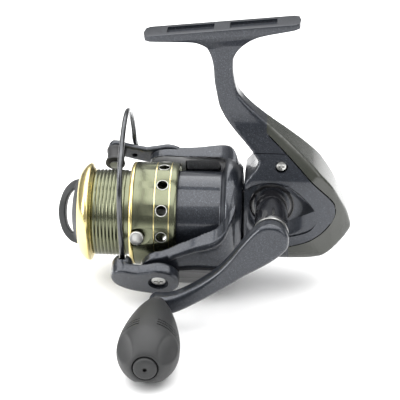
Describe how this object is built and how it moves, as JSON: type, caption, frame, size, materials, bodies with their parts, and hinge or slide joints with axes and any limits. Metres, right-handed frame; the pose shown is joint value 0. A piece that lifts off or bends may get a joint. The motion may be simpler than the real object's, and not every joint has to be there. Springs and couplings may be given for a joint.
{
  "type": "spinning reel",
  "caption": "Front-drag spinning reel with a foot, a folding-style handle with an egg-shaped knob, a rotor with a wire bail, and a holed spool on an oscillating shaft.",
  "frame": {"origin": "centre of the foot's flat top, on the web between its two shallow pockets", "axes": "+X along the main shaft from the drag knob towards the tail, +Z away from the shaft towards the foot, the handle and knob on the -Y side"},
  "size_m": [0.1253, 0.1337, 0.1178],
  "materials": {
    "flake_paint": "dark blue-grey metallic flake paint, semi-gloss",
    "olive_gloss": "olive grey, glossy moulded",
    "gloss_black": "gloss black",
    "matte_black": "matte black",
    "dark_rubber": "matte dark grey rubber",
    "olive_anodised": "olive green anodised, satin",
    "pale_gold": "pale gold anodised, bright",
    "steel": "machined and plated",
    "brass": "machined",
    "zinc": "die-cast zinc, plain",
    "gunmetal": "dark plated wire",
    "drag_grey": "grey, sandblasted look",
    "felt": "greased felt",
    "white_nylon": "natural nylon"
  },
  "bodies": {
    "body": {"housing": "flake_paint", "side_cover": "flake_paint", "rear_guard": "olive_gloss", "side_cover_screw_1": "steel", "side_cover_screw_2": "steel", "guard_screw": "steel", "far_side_cap": "matte_black", "crank_bearing_near": "steel", "crank_bearing_far": "steel", "anti_reverse_clutch": "zinc", "pinion_bearing": "steel", "clutch_retainer": "steel", "slider_guide_rod": "steel", "oscillation_gear_axle": "steel"},
    "crank": {"drive_gear": "zinc", "oscillation_drive_gear": "brass", "crank_shaft": "steel", "crank_collar": "gloss_black", "crank_arm": "flake_paint", "fold_pin": "brass", "knob_spindle": "steel"},
    "knob": {"knob_washer": "matte_black", "knob_grip": "dark_rubber", "knob_cap": "dark_rubber"},
    "oscillation": {"oscillation_gear": "white_nylon"},
    "shaft": {"main_shaft": "steel", "oscillation_slider": "zinc", "slider_screw": "steel", "spool_seat_washer": "brass"},
    "spool": {"spool": "olive_anodised", "spool_lip_ring": "pale_gold", "spool_rear_ring": "pale_gold", "line_clip": "steel", "drag_washer_felt_front": "felt", "drag_washer_steel": "steel", "drag_washer_felt_rear": "felt", "drag_retaining_ring": "steel"},
    "drag_knob": {"drag_knob": "drag_grey", "drag_knob_nut": "brass"},
    "rotor": {"rotor": "flake_paint", "rotor_arm_cover": "gloss_black", "bail_spring": "steel", "pinion": "brass", "rotor_nut": "brass"},
    "bail": {"bail_arm": "flake_paint", "roller_arm": "flake_paint", "bail_wire": "gunmetal", "bail_screw_near": "steel", "bail_screw_far": "steel", "roller_pin": "steel"},
    "line_roller": {"line_roller": "gloss_black"}
  },
  "joints": [
    {"name": "crank_spin", "type": "hinge", "parent": "body", "child": "crank", "pos_m": [0.0218, 0, -0.0733], "axis": [0, 1, 0], "continuous": true},
    {"name": "knob_spin", "type": "hinge", "parent": "crank", "child": "knob", "pos_m": [-0.0236, -0.076, -0.1026], "axis": [0, 1, 0], "continuous": true},
    {"name": "rotor_spin", "type": "hinge", "parent": "body", "child": "rotor", "pos_m": [0, 0, -0.0846], "axis": [1, 0, 0], "continuous": true},
    {"name": "oscillation_spin", "type": "hinge", "parent": "body", "child": "oscillation", "pos_m": [0.0359, 0.007, -0.0803], "axis": [0, 1, 0], "continuous": true},
    {"name": "shaft_slide", "type": "slide", "parent": "body", "child": "shaft", "axis": [1, 0, 0], "range_m": [0, 0.012]},
    {"name": "spool_slip", "type": "hinge", "parent": "shaft", "child": "spool", "pos_m": [-0.04, 0, -0.0846], "axis": [1, 0, 0], "continuous": true},
    {"name": "drag_knob_turn", "type": "hinge", "parent": "shaft", "child": "drag_knob", "pos_m": [-0.06, 0, -0.0846], "axis": [1, 0, 0], "range_deg": [-540, 540]},
    {"name": "bail_swing", "type": "hinge", "parent": "rotor", "child": "bail", "pos_m": [-0.0244, 0, -0.0846], "axis": [0, -0.8829, -0.4695], "range_deg": [0, 110]},
    {"name": "roller_spin", "type": "hinge", "parent": "bail", "child": "line_roller", "pos_m": [-0.0473, 0.02196, -0.06839], "axis": [0, 0.8829, 0.4695], "continuous": true}
  ],
  "couplings": [
    {"joint": "rotor_spin", "follows": "crank_spin", "ratio": 5},
    {"joint": "oscillation_spin", "follows": "crank_spin", "ratio": -0.5}
  ]
}
